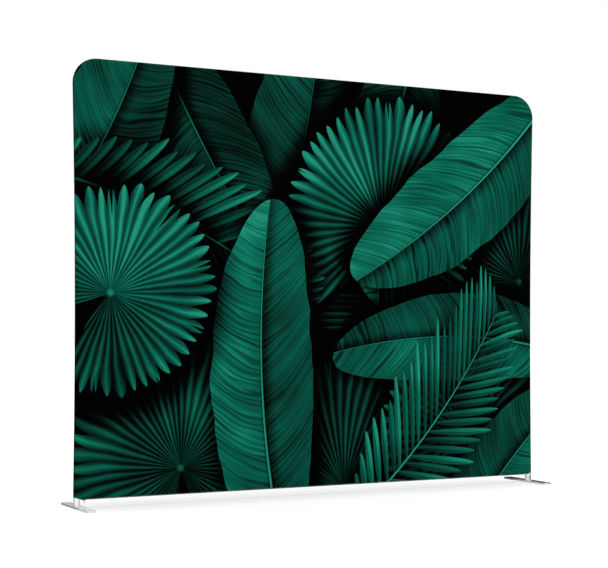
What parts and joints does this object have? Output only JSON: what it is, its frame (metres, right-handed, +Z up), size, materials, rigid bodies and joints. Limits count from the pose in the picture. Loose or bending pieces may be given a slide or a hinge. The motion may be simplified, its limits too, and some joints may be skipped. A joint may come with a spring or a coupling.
{
  "type": "fabric partition screen",
  "caption": "Free-standing partition screen: a printed stretch cover zipped over a round-cornered tube frame, standing on flat plate feet.",
  "frame": {"origin": "on the floor, under the middle of the screen", "axes": "+X along the screen to the right as seen from the front, +Y through it to the back, +Z up"},
  "size_m": [2.5, 0.35, 2],
  "materials": {
    "tube": "drawn, bright",
    "fitting": "cast, satin",
    "spring": "bare spring steel",
    "foot": "bright plated",
    "screw": "zinc plated",
    "pad": "matt",
    "cover": "printed knit, stretched",
    "zip_tape": "woven tape",
    "zip_chain": "nylon",
    "zip_metal": "dark lacquer"
  },
  "bodies": {
    "frame": {"left_lower_post": "tube", "right_lower_post": "tube", "left_upper_post": "tube", "right_upper_post": "tube", "left_corner_tube": "tube", "right_corner_tube": "tube", "left_top_rail": "tube", "right_top_rail": "tube", "left_bottom_rail": "tube", "right_bottom_rail": "tube", "lower_upright": "tube", "upper_upright": "tube", "left_post_sleeve": "tube", "right_post_sleeve": "tube", "left_corner_leg_sleeve": "tube", "right_corner_leg_sleeve": "tube", "left_corner_run_sleeve": "tube", "right_corner_run_sleeve": "tube", "upright_sleeve": "tube", "top_tee": "fitting", "bottom_tee": "fitting", "cover_front": "cover", "cover_back": "cover", "zip_tape_front": "zip_tape", "zip_tape_back": "zip_tape", "zip_chain_front": "zip_chain", "zip_chain_back": "zip_chain", "zip_stop_left": "zip_metal", "zip_stop_right": "zip_metal"},
    "left_foot": {"left_foot_plate": "foot", "left_foot_spigot": "foot", "left_foot_screw": "screw", "left_foot_front_pad": "pad", "left_foot_back_pad": "pad"},
    "right_foot": {"right_foot_plate": "foot", "right_foot_spigot": "foot", "right_foot_screw": "screw", "right_foot_front_pad": "pad", "right_foot_back_pad": "pad"},
    "slider": {"zip_slider": "zip_metal"},
    "pull": {"zip_pull": "zip_metal"},
    "left_post_button": {"button_left_post": "spring"},
    "right_post_button": {"button_right_post": "spring"},
    "left_corner_leg_button": {"button_left_corner_leg": "spring"},
    "right_corner_leg_button": {"button_right_corner_leg": "spring"},
    "left_corner_run_button": {"button_left_corner_run": "spring"},
    "right_corner_run_button": {"button_right_corner_run": "spring"},
    "left_bottom_rail_button": {"button_left_bottom_rail": "spring"},
    "right_bottom_rail_button": {"button_right_bottom_rail": "spring"},
    "top_tee_left_button": {"button_top_tee_left": "spring"},
    "top_tee_right_button": {"button_top_tee_right": "spring"},
    "bottom_tee_left_button": {"button_bottom_tee_left": "spring"},
    "bottom_tee_right_button": {"button_bottom_tee_right": "spring"},
    "upright_foot_button": {"button_upright_foot": "spring"},
    "upright_middle_button": {"button_upright_middle": "spring"},
    "upright_head_button": {"button_upright_head": "spring"}
  },
  "joints": [
    {"name": "left_foot_swivel", "type": "hinge", "parent": "frame", "child": "left_foot", "pos_m": [-1.2341, 0, 0], "axis": [0, 0, 1], "range_deg": [-90, 90]},
    {"name": "right_foot_swivel", "type": "hinge", "parent": "frame", "child": "right_foot", "pos_m": [1.2341, 0, 0], "axis": [0, 0, 1], "range_deg": [-90, 90]},
    {"name": "zip_travel", "type": "slide", "parent": "frame", "child": "slider", "axis": [1, 0, 0], "range_m": [0, 2.398]},
    {"name": "pull_swing", "type": "hinge", "parent": "slider", "child": "pull", "pos_m": [-1.1992, 0, 0.0334], "axis": [0, 1, 0], "range_deg": [-85, 85]},
    {"name": "left_post_press", "type": "slide", "parent": "frame", "child": "left_post_button", "axis": [-1, 0, 0], "range_m": [0, 0.0046], "stiffness_N_per_m": 600},
    {"name": "right_post_press", "type": "slide", "parent": "frame", "child": "right_post_button", "axis": [1, 0, 0], "range_m": [0, 0.0046], "stiffness_N_per_m": 600},
    {"name": "left_corner_leg_press", "type": "slide", "parent": "frame", "child": "left_corner_leg_button", "axis": [-1, 0, 0], "range_m": [0, 0.0046], "stiffness_N_per_m": 600},
    {"name": "right_corner_leg_press", "type": "slide", "parent": "frame", "child": "right_corner_leg_button", "axis": [1, 0, 0], "range_m": [0, 0.0046], "stiffness_N_per_m": 600},
    {"name": "left_corner_run_press", "type": "slide", "parent": "frame", "child": "left_corner_run_button", "axis": [0, 0, 1], "range_m": [0, 0.0046], "stiffness_N_per_m": 600},
    {"name": "right_corner_run_press", "type": "slide", "parent": "frame", "child": "right_corner_run_button", "axis": [0, 0, 1], "range_m": [0, 0.0046], "stiffness_N_per_m": 600},
    {"name": "left_bottom_rail_press", "type": "slide", "parent": "frame", "child": "left_bottom_rail_button", "axis": [0, 0, -1], "range_m": [0, 0.0046], "stiffness_N_per_m": 600},
    {"name": "right_bottom_rail_press", "type": "slide", "parent": "frame", "child": "right_bottom_rail_button", "axis": [0, 0, -1], "range_m": [0, 0.0046], "stiffness_N_per_m": 600},
    {"name": "top_tee_left_press", "type": "slide", "parent": "frame", "child": "top_tee_left_button", "axis": [0, 0, 1], "range_m": [0, 0.0046], "stiffness_N_per_m": 600},
    {"name": "top_tee_right_press", "type": "slide", "parent": "frame", "child": "top_tee_right_button", "axis": [0, 0, 1], "range_m": [0, 0.0046], "stiffness_N_per_m": 600},
    {"name": "bottom_tee_left_press", "type": "slide", "parent": "frame", "child": "bottom_tee_left_button", "axis": [0, 0, -1], "range_m": [0, 0.0046], "stiffness_N_per_m": 600},
    {"name": "bottom_tee_right_press", "type": "slide", "parent": "frame", "child": "bottom_tee_right_button", "axis": [0, 0, -1], "range_m": [0, 0.0046], "stiffness_N_per_m": 600},
    {"name": "upright_foot_press", "type": "slide", "parent": "frame", "child": "upright_foot_button", "axis": [-1, 0, 0], "range_m": [0, 0.0046], "stiffness_N_per_m": 600},
    {"name": "upright_middle_press", "type": "slide", "parent": "frame", "child": "upright_middle_button", "axis": [-1, 0, 0], "range_m": [0, 0.0046], "stiffness_N_per_m": 600},
    {"name": "upright_head_press", "type": "slide", "parent": "frame", "child": "upright_head_button", "axis": [-1, 0, 0], "range_m": [0, 0.0046], "stiffness_N_per_m": 600}
  ]
}
